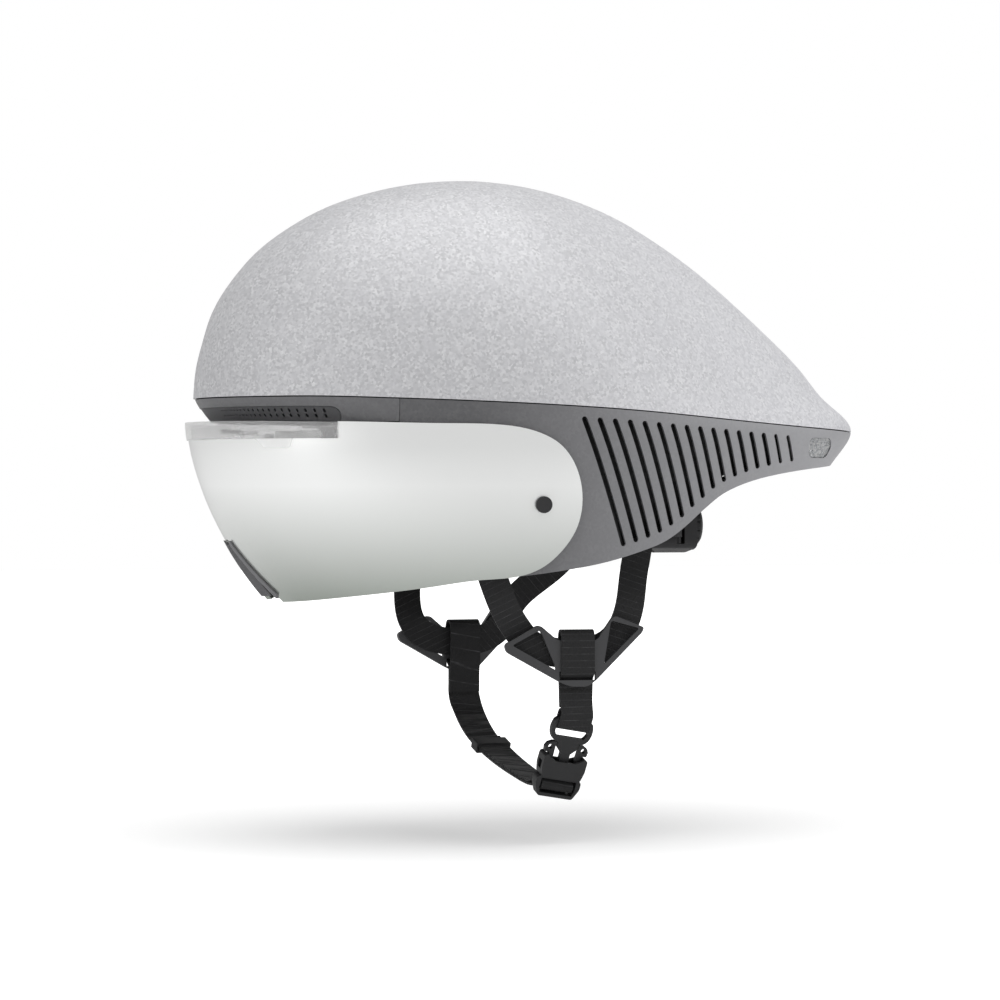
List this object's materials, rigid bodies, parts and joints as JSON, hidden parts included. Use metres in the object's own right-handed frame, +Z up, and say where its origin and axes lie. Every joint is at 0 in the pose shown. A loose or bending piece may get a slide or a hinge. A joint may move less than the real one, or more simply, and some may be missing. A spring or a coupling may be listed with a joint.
{
  "type": "aero time trial helmet",
  "caption": "Short tail aero helmet with a wraparound mirrored visor, louvred side covers, dial fit system and buckled chin harness.",
  "frame": {"origin": "centre of the head's space, level with the top edge of the visor", "axes": "+Z up, the brow faces -Y and the tail +Y, the wearer's left side is +X"},
  "size_m": [0.2076, 0.3649, 0.3232],
  "materials": {
    "shell": "clear coated silver grey",
    "brow": "clear coated dark grey",
    "insert": "fine moulded grain",
    "lens": "silver mirror coating",
    "clear": "clear polycarbonate",
    "foam": "moulded bead foam",
    "pad": "brushed pad cloth",
    "webbing": "woven webbing",
    "buckle": "moulded satin",
    "fit_plastic": "moulded satin",
    "grip": "ribbed",
    "soft": "clear grey soft strip",
    "magnet": "nickel plate",
    "screw": "black zinc"
  },
  "bodies": {
    "helmet": {"upper_shell": "shell", "side_cover_left": "shell", "side_cover_right": "shell", "brow_band": "brow", "brow_insert": "insert", "tail_window_left": "clear", "tail_window_right": "clear", "eps_liner": "foam", "side_seat_magnets": "magnet", "brow_magnets": "magnet", "strap_anchors": "fit_plastic", "temple_pins": "fit_plastic", "hanger_pin": "fit_plastic", "brow_pad": "pad", "side_pad_left": "pad", "side_pad_right": "pad", "crown_pad_left": "pad", "crown_pad_right": "pad", "rear_pad": "pad", "strap_divider_left": "buckle", "strap_divider_right": "buckle", "strap_front_left": "webbing", "strap_rear_left": "webbing", "strap_front_right": "webbing", "strap_rear_right": "webbing", "lower_strap_left": "webbing", "buckle_plug": "buckle", "chin_strap": "webbing", "strap_keeper": "grip", "housing_front": "fit_plastic", "housing_rear": "fit_plastic", "housing_screws": "screw", "occipital_yoke": "fit_plastic", "click_ring": "fit_plastic", "cradle_pad_left": "pad", "cradle_pad_right": "pad", "hanger_strip": "fit_plastic", "band_arm_left": "fit_plastic", "band_arm_right": "fit_plastic"},
    "visor": {"visor_lens": "lens", "visor_bracket": "clear", "visor_magnets": "magnet", "bracket_clips": "fit_plastic", "visor_button_left": "buckle", "visor_button_right": "buckle", "nose_strip_left": "soft", "nose_strip_right": "soft"},
    "dial": {"dial_pinion": "fit_plastic", "dial_knob": "fit_plastic", "dial_grip": "grip"},
    "band_left": {"band_rack_left": "fit_plastic"},
    "band_right": {"band_rack_right": "fit_plastic"},
    "front_arm": {"release_arm_front": "buckle"},
    "rear_arm": {"release_arm_rear": "buckle"},
    "socket": {"buckle_socket": "buckle"}
  },
  "joints": [
    {"name": "visor_detach", "type": "slide", "parent": "helmet", "child": "visor", "axis": [0, -1, 0], "range_m": [0, 0.09]},
    {"name": "dial_turn", "type": "hinge", "parent": "helmet", "child": "dial", "pos_m": [0, 0.118, -0.0505], "axis": [0, 1, 0], "range_deg": [-100, 100]},
    {"name": "band_left_slide", "type": "slide", "parent": "helmet", "child": "band_left", "axis": [1, 0, 0], "range_m": [-0.0105, 0.0105], "deforming": ["band_arm_left"]},
    {"name": "band_right_slide", "type": "slide", "parent": "helmet", "child": "band_right", "axis": [-1, 0, 0], "range_m": [-0.0105, 0.0105], "deforming": ["band_arm_right"]},
    {"name": "release_arm_front_press", "type": "hinge", "parent": "helmet", "child": "front_arm", "pos_m": [0.06598, 0.03328, -0.16007], "axis": [0.9585, 0.046, -0.2813], "range_deg": [0, 9], "stiffness_Nm_per_rad": 0.3},
    {"name": "release_arm_rear_press", "type": "hinge", "parent": "helmet", "child": "rear_arm", "pos_m": [0.06474, 0.04562, -0.16228], "axis": [-0.9585, -0.046, 0.2813], "range_deg": [0, 9], "stiffness_Nm_per_rad": 0.3},
    {"name": "buckle_release", "type": "slide", "parent": "helmet", "child": "socket", "axis": [-0.2675, -0.1956, -0.9435], "range_m": [0, 0.024], "deforming": ["chin_strap", "strap_keeper", "release_arm_front", "release_arm_rear"]}
  ],
  "couplings": [
    {"joint": "band_left_slide", "follows": "dial_turn", "m_per_rad": 0.006},
    {"joint": "band_right_slide", "follows": "dial_turn", "m_per_rad": 0.006}
  ]
}
